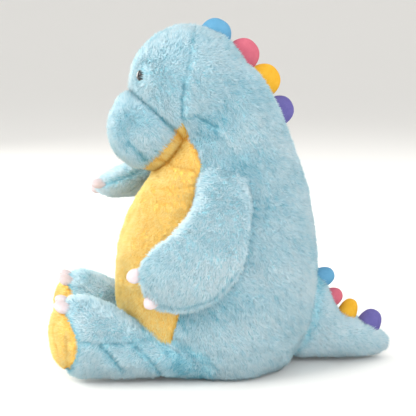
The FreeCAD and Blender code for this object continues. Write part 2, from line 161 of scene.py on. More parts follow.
FOOT_CLAW_ANGLES = (-20, 22)
FOOT_CLAW_RING = (36, 0, 41)  # how far the foot's claws stand from the sole's middle
FOOT_CLAW_AHEAD = 3
FOOT_CLAW_SPREAD = 0.55
LEFT_HAND_CLAWS = [((128, -84, 105), (0.1, -0.80, -0.65)), ((126, -101, 132), (0.0, -1.0, -0.25))]
RIGHT_HAND_CLAWS = [((-121, -140, 192.5), (-0.1, -1.0, -0.2)), ((-95, -140, 201.5), (0.1, -1.0, 0.05))]

TAIL = [
    (52, 24, 86, 20), (60, 10, 98, 33), (75, 3, 107, 46), (93, 1, 112, 50), (112, 0.5, 111, 49),
    (121, 0.5, 102, 47), (129, 0.5, 84, 45), (141, 0.5, 62, 42), (163, 0.5, 53, 36), (184, 1, 42, 27),
    (197, 4, 34, 17), (203, 9, 28, 8),
]
TAIL_ROUND = 2.2


# ---------------------------------------------------------------- meshes

def linked(name, data):
    """Object for some data, placed in the scene."""
    obj = bpy.data.objects.new(name, data)
    bpy.context.scene.collection.objects.link(obj)
    return obj


def new_object(name, points, faces):
    """Mesh object from points in millimetres."""
    mesh = bpy.data.meshes.new(name)
    mesh.from_pydata([tuple(p) for p in np.asarray(points) * MM], [], faces)
    mesh.update()
    return linked(name, mesh)


def vertex_values(obj, attribute):
    flat = np.empty(len(obj.data.vertices) * 3, np.float32)
    obj.data.vertices.foreach_get(attribute, flat)
    return flat.reshape(-1, 3).astype(float)


def coords(obj):
    """The object's points, in millimetres."""
    return vertex_values(obj, "co") / MM


def set_coords(obj, points):
    obj.data.vertices.foreach_set("co", (points * MM).astype(np.float32).ravel())
    obj.data.update()


def settled(obj, points):
    """Gives a skin its last points, none of them under the floor."""
    points[:, 2] = np.maximum(points[:, 2], SKIN_LOW)
    set_coords(obj, points)
    return obj


def normals(obj):
    return vertex_values(obj, "normal")


def smooth_shaded(obj):
    for polygon in obj.data.polygons:
        polygon.use_smooth = True


def face_outward(obj):
    """Turns every face of a closed form to the outside."""
    editable = bmesh.new()
    editable.from_mesh(obj.data)
    bmesh.ops.recalc_face_normals(editable, faces=editable.faces)
    editable.to_mesh(obj.data)
    editable.free()
    return obj


def unit(v):
    return v / np.maximum(np.linalg.norm(v, axis=-1, keepdims=True), 1e-9)


def loft(name, rings):
    """Closed form through rings of equal length, with a point at the middle of each end."""
    count = len(rings[0])
    points = [p for section in rings for p in section]
    points += [rings[0].mean(0), rings[-1].mean(0)]
    faces = []
    for row in range(len(rings) - 1):
        for i in range(count):
            j = (i + 1) % count
            a, b = row * count, (row + 1) * count
            faces.append((a + i, a + j, b + j, b + i))
    end = (len(rings) - 1) * count
    for i in range(count):
        j = (i + 1) % count
        faces.append((len(points) - 2, j, i))
        faces.append((len(points) - 1, end + i, end + j))
    return face_outward(new_object(name, np.array(points), faces))


def ring(centre, wide, thick, half_width, half_thickness, power=2.0):
    """Soft cross-section, an ellipse or a squarer one."""
    turn = np.linspace(0, 2 * math.pi, RING, endpoint=False)
    across = np.sign(np.cos(turn)) * np.abs(np.cos(turn)) ** (2 / power) * half_width
    over = np.sign(np.sin(turn)) * np.abs(np.sin(turn)) ** (2 / power) * half_thickness
    return np.asarray(centre) + np.outer(across, wide) + np.outer(over, thick)


def resampled(stations, steps):
    """Stations interpolated smoothly to more of them."""
    table = np.asarray(stations, float)
    fine = np.linspace(0, len(table) - 1, steps)
    slopes = np.gradient(table, axis=0)
    low = np.clip(np.floor(fine).astype(int), 0, len(table) - 2)
    t = (fine - low)[:, None]
    a, b, ma, mb = table[low], table[low + 1], slopes[low], slopes[low + 1]
    return (a * (2 * t**3 - 3 * t**2 + 1) + ma * (t**3 - 2 * t**2 + t)
            + b * (3 * t**2 - 2 * t**3) + mb * (t**3 - t**2))


def ellipsoid(name, centre, radii):
    """Round form with its points spread evenly."""
    editable = bmesh.new()
    bmesh.ops.create_icosphere(editable, subdivisions=5, radius=1.0)
    points = np.array([v.co[:] for v in editable.verts]) * radii + centre
    faces = [tuple(v.index for v in f.verts) for f in editable.faces]
    editable.free()
    return new_object(name, points, faces)


def evaluated(obj):
    """The object with its modifiers applied."""
    graph = bpy.context.evaluated_depsgraph_get()
    mesh = bpy.data.meshes.new_from_object(obj.evaluated_get(graph))
    old = obj.data
    obj.modifiers.clear()
    obj.data = mesh
    bpy.data.meshes.remove(old)
    return obj


def joined(name, parts):
    """One object that holds the meshes of several, which go."""
    editable = bmesh.new()
    for part in parts:
        editable.from_mesh(part.data)
        bpy.data.objects.remove(part)
    mesh = bpy.data.meshes.new(name)
    editable.to_mesh(mesh)
    editable.free()
    return linked(name, mesh)


def remeshed(obj, voxel=VOXEL):
    """One even closed skin round everything in the mesh."""
    grid = obj.modifiers.new("grid", "REMESH")
    grid.mode = "VOXEL"
    grid.voxel_size = voxel * MM
    relax = obj.modifiers.new("relax", "SMOOTH")
    relax.factor = 0.5
    relax.iterations = 4
    return evaluated(obj)


def weighed(obj, name, weights, least):
    """Vertex group of the points whose weight is above the least."""
    group = obj.vertex_groups.new(name=name)
    for index in np.nonzero(weights > least)[0]:
        group.add([int(index)], float(weights[index]), "REPLACE")


def ease(obj, weight, rounds):
    """Smooths the form where weight (0 to 1 per point) is high."""
    weighed(obj, "ease", weight, 0.02)
    relax = obj.modifiers.new("ease", "SMOOTH")
    relax.factor = 0.6
    relax.iterations = rounds
    relax.vertex_group = "ease"
    evaluated(obj)
    obj.vertex_groups.clear()


def subdivided(obj):
    rounder = obj.modifiers.new("rounder", "SUBSURF")
    rounder.levels = 1
    rounder.render_levels = 1
    return evaluated(obj)


def stuff(obj, pins, pressure=4.0, cap=3.0):
    """Blows the cloth up over its filling, no point further than cap; pins (0 to 1 per point) hold the
    sewn seams in."""
    start = coords(obj)
    weighed(obj, "seams", pins, 0.01)
    cloth = obj.modifiers.new("stuffing", "CLOTH")
    settings = cloth.settings
    settings.quality = 5
    settings.mass = 0.3
    settings.tension_stiffness = 25
    settings.compression_stiffness = 12
    settings.shear_stiffness = 8
    settings.bending_stiffness = 0.6
    settings.use_pressure = True
    settings.uniform_pressure_force = pressure
    settings.vertex_group_mass = "seams"
    settings.pin_stiffness = 1.0
    settings.effector_weights.gravity = 0
    cloth.collision_settings.use_collision = False
    scene = bpy.context.scene
    for step in range(1, STUFFING_STEPS + 1):
        scene.frame_set(step)
    evaluated(obj)
    obj.vertex_groups.clear()
    scene.frame_set(1)
    moved = coords(obj) - start
    length = np.linalg.norm(moved, axis=1, keepdims=True)
    set_coords(obj, start + moved * np.minimum(1.0, cap / np.maximum(length, 1e-6)))


def smooth_noise(points, size, seed):
    """Soft random field of about the given grain, from -1 to 1, the same at each run."""
    rng = np.random.default_rng(seed)
    ways = unit(rng.normal(size=(NOISE_WAVES, 3)))
    waves = ways * (2 * math.pi / size) * rng.uniform(0.6, 1.5, (NOISE_WAVES, 1))
    phase = rng.uniform(0, 2 * math.pi, NOISE_WAVES)
    return np.sin(points @ waves.T + phase).sum(1) / math.sqrt(NOISE_WAVES)


def noise_vector(points, size, seed):
    """The same as a random direction, from three seeds in a row."""
    return np.stack([smooth_noise(points, size, seed + k) for k in range(3)], 1)


def lumps(points, *fields):
    """Uneven filling: the sum of fields given as (height, size, seed)."""
    return sum(height * smooth_noise(points, size, seed) for height, size, seed in fields)


def bell(distance, width, power=2):
    """1 at distance 0, fading to nothing over about twice the width."""
    return np.exp(-(distance / width) ** power)


def dent(distance, shape):
    """Groove that is deepest at distance 0, from its (depth, width)."""
    return shape[0] * bell(distance, shape[1])


def to_line(points, line):
    """Distance from each point to a polyline."""
    best = np.full(len(points), 1e9)
    for a, b in zip(line[:-1], line[1:]):
        a, b = np.asarray(a, float), np.asarray(b, float)
        along = np.clip(((points - a) @ (b - a)) / ((b - a) @ (b - a)), 0, 1)
        best = np.minimum(best, np.linalg.norm(points - a - along[:, None] * (b - a), axis=1))
    return best


# ---------------------------------------------------------------- body shape

def torso_value(p):
    """Signed distance to the torso over its pile, roughly."""
    z = np.clip(p[:, 2], TORSO[0, 0], TORSO[-1, 0])
    front, back, half = (np.interp(z, TORSO[:, 0], TORSO[:, k]) for k in (1, 2, 3))
    middle, depth = 0.5 * (front + back), 0.5 * (back - front)
    share = (np.abs(p[:, 0] / half) ** TORSO_ROUND + np.abs((p[:, 1] - middle) / depth) ** TORSO_ROUND)
    side = (share ** (1 / TORSO_ROUND) - 1) * np.minimum(half, depth)
    return np.maximum(side, np.maximum(p[:, 2] - TORSO[-1, 0], TORSO[0, 0] - p[:, 2]))


def ball_value(p, centre, radii):
    return (np.linalg.norm((p - centre) / radii, axis=1) - 1) * radii.min()


def belly_value(p):
    """Above 0 where the yellow belly is, in millimetres from its edge."""
    edge = np.interp(p[:, 2], BELLY_EDGE[::-1, 1], BELLY_EDGE[::-1, 0])
    return edge - p[:, 1]


def chin_value(p):
    return (p - CHIN_POINT) @ CHIN_NORMAL


def body_fields(p):
    """Which form each point of the body belongs to, how far it is from a crease between two of them, and
    how far it is inside the yellow cloth's edge."""
    forms = [torso_value(p), ball_value(p, SKULL, SKULL_RADII), ball_value(p, MUZZLE, MUZZLE_RADII)]
    values = np.stack(forms)
    part = values.argmin(0)
    ordered = np.sort(values, axis=0)
    crease = ordered[1] - ordered[0]
    under_skull = np.minimum(belly_value(p), chin_value(p))
    on_body = np.where(part == ON_TORSO, belly_value(p), under_skull)
    yellow = np.where(part == ON_MUZZLE, chin_value(p) - CHIN_STEP, on_body)
    return part, crease, yellow


def front_crease(p, crease):
    """1 in the valley between two forms of the head, fading out behind it, where one cloth covers both."""
    return bell(crease, CREASE_WIDTH) * np.clip((CREASE_BACK - p[:, 1]) / CREASE_FADE, 0, 1)


def folds(p, lines=SIDE_LINES):
    """Distance to the nearest seam or fold line, seen from the side."""
    near = []
    flat = p * [0, 1, 1]
    for start, shallow, line in lines:
        away = np.maximum(start - np.abs(p[:, 0]), 0)
        near.append(np.hypot(to_line(flat, [(0, y, z) for y, z in line]), away) + shallow)
    return np.minimum.reduce(near)


def mirrored(p):
    """The points with those of the right side moved to the left one."""
    return np.abs(p) * [1, 0, 0] + p * [0, 1, 1]


def eye_distance(p):
    """Distance from the nearer eye's own axis, near the face."""
    offset = mirrored(p) - EYE
    facing = unit(EYE_FACING)
    depth = offset @ facing
    away = np.linalg.norm(offset - np.outer(depth, facing), axis=1)
    return away + FAR_AWAY * (np.abs(depth) > EYE_ZONE)


def inset(half, least=2.0):
    """Half size of a backing cloth under its pile, and at least a thin one."""
    return max(half - PILE, least)


def make_body():
    rings = []
    for z, front, back, half in resampled(TORSO, TORSO_SECTIONS):
        level = min(max(z, TORSO[0, 0] + 0.5), TORSO[-1, 0] - PILE)
        centre = (0, 0.5 * (front + back), level)
        rings.append(ring(centre, X_AXIS, Y_AXIS, half - PILE, 0.5 * (back - front) - PILE, TORSO_ROUND))
    torso = loft("torso", rings)
    skull = ellipsoid("skull", SKULL, SKULL_RADII - PILE)
    muzzle = ellipsoid("muzzle", MUZZLE, MUZZLE_RADII - PILE)
    body = remeshed(joined("body_form", [torso, skull, muzzle]))
    p = coords(body)
    crease = body_fields(p)[1]
    behind = np.clip((p[:, 1] - NAPE_START) / NAPE_FADE, 0, 1)
    ease(body, bell(crease, NAPE_WIDTH) * behind * (p[:, 2] > NAPE_LOW), NAPE_ROUNDS)
    p = coords(body)
    _, crease, yellow = body_fields(p)
    seam = np.maximum(front_crease(p, crease), bell(folds(p), SEAM_WIDTH))
    edge = bell(yellow, SEAM_WIDTH) * (p[:, 1] < BELLY_BACK)
    seat = bell(np.maximum(p[:, 2] - SEAT_HEIGHT, 0), SEAT_FADE)
    stuff(body, np.clip(np.maximum.reduce([seam, edge, seat]), 0, 1))
    subdivided(body)
    p, n = coords(body), normals(body)
    _, crease, yellow = body_fields(p)
    depth = CREASE_DEPTH * front_crease(p, crease) + dent(yellow, YELLOW_EDGE) * (p[:, 1] < BELLY_BACK)
    depth += dent(folds(p), FOLD)
    depth += lumps(p, (1.2, 60, 1), (0.5, 22, 2))
    depth -= EYE_PAD * bell(eye_distance(p), EYE_PAD_WIDTH, 4)
    depth -= dent(np.linalg.norm(mirrored(p) - CHEEK, axis=1), CHEEK_PAD)
    return settled(body, p - n * depth[:, None])


def sole_value(p):
    """How far each point is ahead of the plane where the sole starts."""
    return (HIP[1] - SOLE_START) - p[:, 1]


def make_leg(side, name):
    stations = []
    root_half, root_tall = HIP_RADIUS - PILE, LEG[0][2] - PILE
    for degrees in LEG_ROOT_TURNS:
        back, part = math.sin(math.radians(degrees)), math.cos(math.radians(degrees))
        stations.append((-root_half * back, root_half * part + PILE, root_tall * part + PILE, HIP[2]))
    stations += LEG
    rings = []
    for ahead, half_width, half_height, level in resampled(stations, SECTIONS):
        reach = ahead if ahead < TOE_START else ahead - PILE * min(1.0, (ahead - TOE_START) / TOE_LENGTH)
        centre = (side * HIP[0], HIP[1] - reach, level)
        rings.append(ring(centre, X_AXIS, Z_AXIS, inset(half_width), inset(half_height, 3)))
    leg = remeshed(loft("leg_form_" + name, rings))
    p = coords(leg)
    sole = sole_value(p)
    side_seam = bell(p[:, 2] - HIP[2], PIN_WIDTH) * (sole < 0)
    stuff(leg, np.maximum(bell(sole, PIN_WIDTH), SIDE_SEAM_PIN * side_seam))
    subdivided(leg)
    p, n = coords(leg), normals(leg)
    sole = sole_value(p)
    sole_seam = p[:, 0] * side - SOLE_SEAM + SOLE_SEAM_LEAN * (p[:, 2] - SOLE_MIDDLE)
    depth = dent(sole, SOLE_EDGE) + dent(folds(p, LEG_LINES), LEG_FOLD)
    depth += dent(sole_seam, SOLE_CREASE) * (sole > SOLE_SEAM_AHEAD)
    depth += lumps(p, (1.0, 45, 3 + side), (0.4, 18, 5 + side))
    return settled(leg, p - n * depth[:, None])


def arm_line(stations, left):
    """The arm's sections from shoulder to paw: middle, wide axis, thick axis, half width, half thickness."""
    rows = []
    for share, section in zip(np.linspace(0, 1, SECTIONS), resampled(stations, SECTIONS)):
        x, y, z, half_width, half_thickness, turn = section
        angle = math.radians(turn)
        x -= math.copysign(ROOT_SINK * max(0.0, 1 - share / ROOT_SHARE) ** ROOT_CURVE, x)
        if left:
            wide, thick = (0, math.cos(angle), -math.sin(angle)), X_AXIS
        else:
            wide = (math.sin(angle), 0, math.cos(angle))
            thick = (math.cos(angle), 0, -math.sin(angle))
        rows.append((np.array((x, y, z)), np.array(wide), np.array(thick), half_width - PILE,
                     half_thickness - PILE))
    return rows


def arm_place(p, rows):
    """Each point's share along the arm, its height over the plane of the arm's seam, and its place
    along the wide axis."""
    middles = np.array([row[0] for row in rows])
    axes = unit(np.gradient(middles, axis=0))
    offset = p[:, None, :] - middles[None]
    score = np.abs(np.einsum("ijk,jk->ij", offset, axes)) + NEARNESS * np.linalg.norm(offset, axis=2)
    nearest = score.argmin(1)
    thick = np.array([row[2] for row in rows])[nearest]
    wide = np.array([row[1] for row in rows])[nearest]
    own = p - middles[nearest]
    return nearest / (len(rows) - 1), np.sum(own * thick, 1), np.sum(own * wide, 1)


def arm_groove(p, rows, left):
    """1 along the arm's sewn edge: beside it on the hanging arm's outer face, on it on the raised arm."""
    share, over, across = arm_place(p, rows)
    shown = np.clip((share - ARM_SEAM_START) / ARM_SEAM_FADE, 0, 1)
    if left:
        rear = np.clip((across + REAR_FADE) / (2 * REAR_FADE), 0, 1)
        return bell(over - LEFT_SEAM_OVER, LEFT_SEAM_WIDTH) * (over > 0) * rear * shown
    return bell(over, RIGHT_SEAM_WIDTH) * shown


def make_arm(stations, name, left):
    rows = arm_line(stations, left)
    rings = [ring(c, w, t, max(a, 2), max(b, 1.5)) for c, w, t, a, b in rows]
    arm = remeshed(loft("arm_form_" + name, rings), voxel=ARM_VOXEL)
    pins = arm_groove(coords(arm), rows, left)
    stuff(arm, pins, pressure=2.5, cap=2.0)
    subdivided(arm)
    p = coords(arm)
    set_coords(arm, p - normals(arm) * (ARM_SEAM_DEPTH * arm_groove(p, rows, left))[:, None])
    return arm


def make_tail():
    rings = []
    for y, low, high, half in resampled(TAIL, SECTIONS):
        centre = (0, y, 0.5 * (low + high))
        rings.append(ring(centre, X_AXIS, Z_AXIS, inset(half), inset(0.5 * (high - low)), TAIL_ROUND))
    tail = remeshed(loft("tail_form", rings))
    stuff(tail, bell(coords(tail)[:, 0], PIN_WIDTH))
    subdivided(tail)
    return settled(tail, coords(tail))


# ---------------------------------------------------------------- materials

COARSE_SCALE = 0.08  # the coarse grain's scale, as a share of the fine one's
FINE_SHARE, COARSE_SHARE = 0.65, 0.35  # how the two make up the colour's variation
BUMP_HEIGHT = 0.001  # metres


def colour(r, g, b):
    """Linear colour from an sRGB one given in 0 to 255."""
    linear = [c / 255 / 12.92 if c <= 10 else ((c / 255 + 0.055) / 1.055) ** 2.4 for c in (r, g, b)]
    return tuple(linear) + (1.0,)


def principled(name, base, roughness, sheen=0.0, sheen_tint=None):
    material = bpy.data.materials.new(name)
    material.use_nodes = True
    shader = material.node_tree.nodes["Principled BSDF"]
    shader.inputs["Base Color"].default_value = base
    shader.inputs["Roughness"].default_value = roughness
    shader.inputs["Sheen Weight"].default_value = sheen
    shader.inputs["Sheen Roughness"].default_value = 0.5
    shader.inputs["Specular IOR Level"].default_value = 0.2
    if sheen_tint:
        shader.inputs["Sheen Tint"].default_value = sheen_tint
    return material, shader


def cloth_material(name, dark, light, grain, bump, sheen=0.4):
    """Cloth whose colour varies with a coarse and a fine grain, with a matching bump."""
    material, shader = principled(name, light, 0.95, sheen, light)
    nodes, links = material.node_tree.nodes, material.node_tree.links
    place = nodes.new("ShaderNodeTexCoord")
    fine = nodes.new("ShaderNodeTexNoise")
    fine.inputs["Scale"].default_value = grain
    fine.inputs["Detail"].default_value = 4.0
    coarse = nodes.new("ShaderNodeTexNoise")
    coarse.inputs["Scale"].default_value = grain * COARSE_SCALE
    coarse.inputs["Detail"].default_value = 2.0
    blend = nodes.new("ShaderNodeMath")
    blend.operation = "MULTIPLY_ADD"
    blend.inputs[1].default_value = FINE_SHARE
    ramp = nodes.new("ShaderNodeValToRGB")
    ramp.color_ramp.elements[0].position = 0.35
    ramp.color_ramp.elements[0].color = dark
    ramp.color_ramp.elements[1].position = 0.65
    ramp.color_ramp.elements[1].color = light
    share = nodes.new("ShaderNodeMath")
    share.operation = "MULTIPLY"
    share.inputs[1].default_value = COARSE_SHARE
    relief = nodes.new("ShaderNodeBump")
    relief.inputs["Strength"].default_value = bump
    relief.inputs["Distance"].default_value = BUMP_HEIGHT
    links.new(place.outputs["Object"], fine.inputs["Vector"])
    links.new(place.outputs["Object"], coarse.inputs["Vector"])
    links.new(fine.outputs["Fac"], blend.inputs[0])
    links.new(coarse.outputs["Fac"], share.inputs[0])
    links.new(share.outputs[0], blend.inputs[2])
    links.new(blend.outputs[0], ramp.inputs["Fac"])
    links.new(ramp.outputs["Color"], shader.inputs["Base Color"])
    links.new(fine.outputs["Fac"], relief.inputs["Height"])
    links.new(relief.outputs["Normal"], shader.inputs["Normal"])
    return material


BLUE_BACK = cloth_material("blue_backing", colour(134, 188, 200), colour(172, 208, 217), 900, 0.5)
YELLOW_BACK = cloth_material("yellow_backing", colour(232, 184, 84), colour(244, 208, 120), 1200, 0.5)

# shades of the tufts, dark to light
BLUE_SHADES = [
    (106, 177, 197), (148, 201, 216), (180, 215, 227), (198, 225, 234), (209, 230, 238), (218, 235, 241),
]
YELLOW_SHADES = [
    (232, 168, 52), (240, 194, 92), (245, 212, 122), (248, 221, 142), (250, 228, 158), (251, 233, 172),
]


def shade_set(name, shades):
    made = []
    for number, rgb in enumerate(shades):
        made.append(principled("%s_%d" % (name, number), colour(*rgb), 0.9, 0.35, colour(*rgb))[0])
    return made


BLUE_PILE = shade_set("blue_pile", BLUE_SHADES)
YELLOW_PILE = shade_set("yellow_pile", YELLOW_SHADES)


# ---------------------------------------------------------------- pile

CONTACT_WIDTH = 5.0
TUFT_LIMIT = 48000  # tufts in one piece
TUFT_SINK = 1.0  # how deep a tuft is rooted in its skin
SHADE_SPREAD = 1.1  # how many shades a tuft may differ from its place's tone
# how far tufts stray from the way they are combed: in clumps, in swirls, and each by itself
CLUMP_SIZE, CLUMP_STRAY = 6, 0.20
SWIRL_SIZE, SWIRL_STRAY = 22, 0.12
OWN_STRAY = 0.22
# how much a tuft's length and width may differ, and the least share of its width when it is short
LENGTH_SPREAD, WIDTH_SPREAD, LEAST_WIDTH = (0.75, 1.1), (0.8, 1.2), 0.6
SLANT = 0.3  # slope of the heights at which a field is cut into pieces


def leg_value(p):
    """Signed distance to the nearer leg over its pile, roughly."""
    ahead = HIP[1] - p[:, 1]
    table = np.asarray(LEG)
    half, tall, level = (np.interp(ahead, table[:, 0], table[:, k]) for k in (1, 2, 3))
    aside = np.abs(p[:, 0]) - HIP[0]
    share = np.hypot(aside / half, (p[:, 2] - level) / tall)
    side = (share - 1) * np.minimum(half, tall)
    root = np.hypot(np.hypot(aside, p[:, 1] - HIP[1]) / HIP_RADIUS, (p[:, 2] - HIP[2]) / LEG[0][2])
    return np.where(ahead > 0, side, (root - 1) * LEG[0][2])


def tail_value(p):
    """Signed distance to the tail over its pile, roughly."""
    table = np.asarray(TAIL)
    low, high, half = (np.interp(p[:, 1], table[:, 0], table[:, k]) for k in (1, 2, 3))
    share = np.hypot(p[:, 0] / half, (p[:, 2] - 0.5 * (low + high)) / (0.5 * (high - low)))
    return (share - 1) * np.minimum(half, 0.5 * (high - low))


def contact(*values):
    """1 where two forms meet, fading over a pile's length."""
    return np.maximum.reduce([bell(v, CONTACT_WIDTH) for v in values])


def surface_samples(obj, density, rng):
    """Random points on the skin, with smooth normals; density is points per square millimetre."""
    mesh = obj.data
    mesh.calc_loop_triangles()
    corners = np.empty(len(mesh.loop_triangles) * 3, np.int32)
    mesh.loop_triangles.foreach_get("vertices", corners)
    corners = corners.reshape(-1, 3)
    p, n = coords(obj), normals(obj)
    a, b, c = (p[corners[:, k]] for k in range(3))
    area = 0.5 * np.linalg.norm(np.cross(b - a, c - a), axis=1)
    count = int(area.sum() * density)
    pick = np.searchsorted(np.cumsum(area), rng.uniform(0, area.sum(), count))
    pick = np.minimum(pick, len(area) - 1)
    u, v = np.sqrt(rng.uniform(size=count)), rng.uniform(size=count)
    weights = np.stack([1 - u, u * (1 - v), u * v], 1)
    root = sum(weights[:, k, None] * p[corners[pick, k]] for k in range(3))
    out = sum(weights[:, k, None] * n[corners[pick, k]] for k in range(3))
    return root, unit(out)


def tufts(name, root, out, comb, length, width, tone, shades, body, rng):
    """A field of closed, tapering, three-sided tufts as one piece.

    comb is the way each lies, length and width are per tuft, tone (0 dark to 1 light) picks its shade."""
    count = len(root)
    along = unit(comb - out * np.sum(comb * out, 1, keepdims=True))
    stray = noise_vector(root, CLUMP_SIZE, 100) * CLUMP_STRAY
    stray += noise_vector(root, SWIRL_SIZE, 110) * SWIRL_STRAY
    stray += rng.normal(size=(count, 3)) * OWN_STRAY
    way = unit(out + along + stray)
    tip = root + way * length[:, None]
    side = unit(np.cross(way, rng.normal(size=(count, 3))))
    other = np.cross(way, side)
    points = np.empty((count, 4, 3))
    for k in range(3):
        angle = 2 * math.pi * k / 3
        spoke = side * math.cos(angle) + other * math.sin(angle)
        points[:, k] = root - out * TUFT_SINK + spoke * width[:, None]
    points[:, 3] = tip
    points[:, :, 2] = np.maximum(points[:, :, 2], FLOOR_GAP)
    start = np.arange(count) * 4
    sides = [np.stack([start + k, start + (k + 1) % 3, start + 3], 1) for k in range(3)]
    tris = np.concatenate(sides + [np.stack([start + 2, start + 1, start], 1)])
    mesh = bpy.data.meshes.new(name)
    mesh.vertices.add(count * 4)
    mesh.vertices.foreach_set("co", (points.reshape(-1, 3) * MM).astype(np.float32).ravel())
    mesh.loops.add(tris.size)
    mesh.loops.foreach_set("vertex_index", tris.ravel().astype(np.int32))
    mesh.polygons.add(len(tris))
    mesh.polygons.foreach_set("loop_start", (np.arange(len(tris)) * 3).astype(np.int32))
    for material in shades:
        mesh.materials.append(material)
    pick = tone * len(shades) + rng.uniform(-SHADE_SPREAD, SHADE_SPREAD, count)
    pick = np.clip(pick, 0, len(shades) - 0.01).astype(np.int32)
    mesh.polygons.foreach_set("material_index", np.tile(pick, 4))
    mesh.polygons.foreach_set("use_smooth", np.ones(len(tris), bool))
    mesh.update(calc_edges=True)
    obj = linked(name, mesh)
    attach(obj, body)
    return obj


def pile(name, skin, body, choose, comb, kind, seed):
    """Covers part of a skin with pile, in as many pieces as it takes.

    choose(points) gives (keep, length factor, tone), comb(points) gives the way the pile lies, and kind
    is its density, length, width and shades, and a slot that is not used."""
    density, length, width, shades, slot = kind
    rng = np.random.default_rng(seed)
    root, out = surface_samples(skin, density, rng)
    keep, factor, tone = choose(root)
    root, out, factor, tone = root[keep], out[keep], factor[keep], tone[keep]
    order = np.argsort(root[:, 2] + SLANT * root[:, 1], kind="stable")
    root, out, factor, tone = root[order], out[order], factor[order], tone[order]
    pieces = max(1, math.ceil(len(root) / TUFT_LIMIT))
    for number, chosen in enumerate(np.array_split(np.arange(len(root)), pieces), start=1):
        count = len(chosen)
        lengths = length * factor[chosen] * rng.uniform(*LENGTH_SPREAD, count)
        widths = width * rng.uniform(*WIDTH_SPREAD, count) * np.clip(factor[chosen], LEAST_WIDTH, 1)
        label = name if pieces == 1 else "%s_%d" % (name, number)
        piece = tufts(label, root[chosen], out[chosen], comb(root[chosen]), lengths, widths, tone[chosen],
                      shades, body, rng)


BLUE_DENSITY = 1.0  # tufts per square millimetre
YELLOW_DENSITY = 1.3
TUFT_WIDTH = 0.5
# density, length, width, shades, slot
BLUE = (BLUE_DENSITY, 7.2, TUFT_WIDTH, BLUE_PILE, "blue_plush")
YELLOW = (YELLOW_DENSITY, 5.0, TUFT_WIDTH * 0.8, YELLOW_PILE, "yellow_plush")
# what a seam and a place where two forms meet do to the pile: the shortening is real, the darkening is
# painted shade in the groove and where the forms meet
SEAM_SHORTENS, SEAM_PAINTED_SHADE, MEETING_PAINTED_SHADE = 0.4, 0.5, 0.3
# the same on the belly and the arms: darkening along creases, folds, seams and the yellow cloth's edge is
# painted shade
YELLOW_SHORTENS, YELLOW_FOLD_PAINTED_SHADE, YELLOW_EDGE_PAINTED_SHADE = 0.3, 0.6, 0.35
ARM_SHORTENS, ARM_SEAM_PAINTED_SHADE = 0.5, 0.6
ARM_PAINTED_SHADE, ARM_SHADE_WIDTH = 0.15, 9.0  # painted shade on the pile behind each arm at rest
# painted shade on the pile round each eye's recess
EYE_PAINTED_SHADE, EYE_SHADE_WIDTH = 0.3, 10.0
EYE_SHORTENS, EYE_SHORT_WIDTH = 0.35, 12.0
TONE, TONE_VARIATION = 0.60, 0.09
# the same pile painted a little darker on the torso and a little lighter on the arms: painted shade and
# painted light
BODY_PAINTED_SHADE, ARM_PAINTED_LIGHT = 0.05, 0.08
YELLOW_BASE, SOLE_BASE = 0.25, 0.22
YELLOW_TONE = 0.6  # how much of the tone's variation the yellow shows
BODY_PILE_LOW, LIMB_PILE_LOW = 3.0, 2.5  # heights under which nothing grows
# ways that the pile lies
TORSO_WAY = (0.0, 0.45, -1.0)
SKULL_WAY = np.array((0, 0.6, -0.3))  # added to the way from the line through the eyes
EYE_WAY = np.array((0, -1.0, 0.1))
LEG_WAY = (0.0, -1.0, -0.35)
TAIL_WAY = (0.0, 1.0, -0.45)
BESIDE_EYE = 12
PARTING = np.array((0, -60, 0))  # the muzzle's pile parts from here, and a bit higher
PARTING_RISE = 20
BODY_WAVES, BODY_WAVE_SIZE = 0.30, 55
LIMB_WAVES, LIMB_WAVE_SIZE = 0.35, 45


def tone_of(p):
    """Pile's own tone, with a fine and a broad variation."""
    return TONE + TONE_VARIATION * smooth_noise(p, 9, 31) + TONE_VARIATION * smooth_noise(p, 60, 32)


def arm_distance(p):
    """Distance from the nearer arm at rest, roughly."""
    near = np.full(len(p), 1e9)
    for stations in (LEFT_ARM, RIGHT_ARM):
        for x, y, z, half_width, *_ in resampled(stations, 24):
            near = np.minimum(near, np.linalg.norm(p - (x, y, z), axis=1) - half_width)
    return near


def body_blue(p):
    _, crease, yellow = body_fields(p)
    eye = eye_distance(p)
    keep = (yellow < 0) & (eye > EYE_BARE) & (p[:, 2] > BODY_PILE_LOW)
    groove = np.maximum(front_crease(p, crease), bell(folds(p), SEAM_WIDTH))
    meet = contact(leg_value(p), tail_value(p))
    behind_arm_shade = bell(np.maximum(arm_distance(p), 0), ARM_SHADE_WIDTH)
    inner = np.abs(p[:, 0]) < EYE[0]
    factor = 1 - SEAM_SHORTENS * np.maximum(groove, meet)
    factor = factor - EYE_SHORTENS * bell(eye, EYE_SHORT_WIDTH, 4) * inner
    # painted shade: the pile is darker in the head's creases and the side seams, where the torso meets a leg
    # or the tail, behind the arms and round the eyes
    tone = tone_of(p) - BODY_PAINTED_SHADE - SEAM_PAINTED_SHADE * groove - MEETING_PAINTED_SHADE * meet
    return keep, factor, tone - ARM_PAINTED_SHADE * behind_arm_shade - EYE_PAINTED_SHADE * bell(eye, EYE_SHADE_WIDTH, 4)


def body_yellow(p):
    _, crease, yellow = body_fields(p)
    keep = (yellow >= 0) & (p[:, 2] > BODY_PILE_LOW)
    groove = np.maximum(bell(crease, 5.0), 0.8 * bell(folds(p), 3.0))
    edge = bell(yellow, 4.0)
    # painted shade: darker in the creases and folds and along the yellow cloth's edge
    tone = YELLOW_BASE + YELLOW_TONE * tone_of(p) - YELLOW_FOLD_PAINTED_SHADE * groove - YELLOW_EDGE_PAINTED_SHADE * edge
    return keep, 1 - YELLOW_SHORTENS * groove, tone


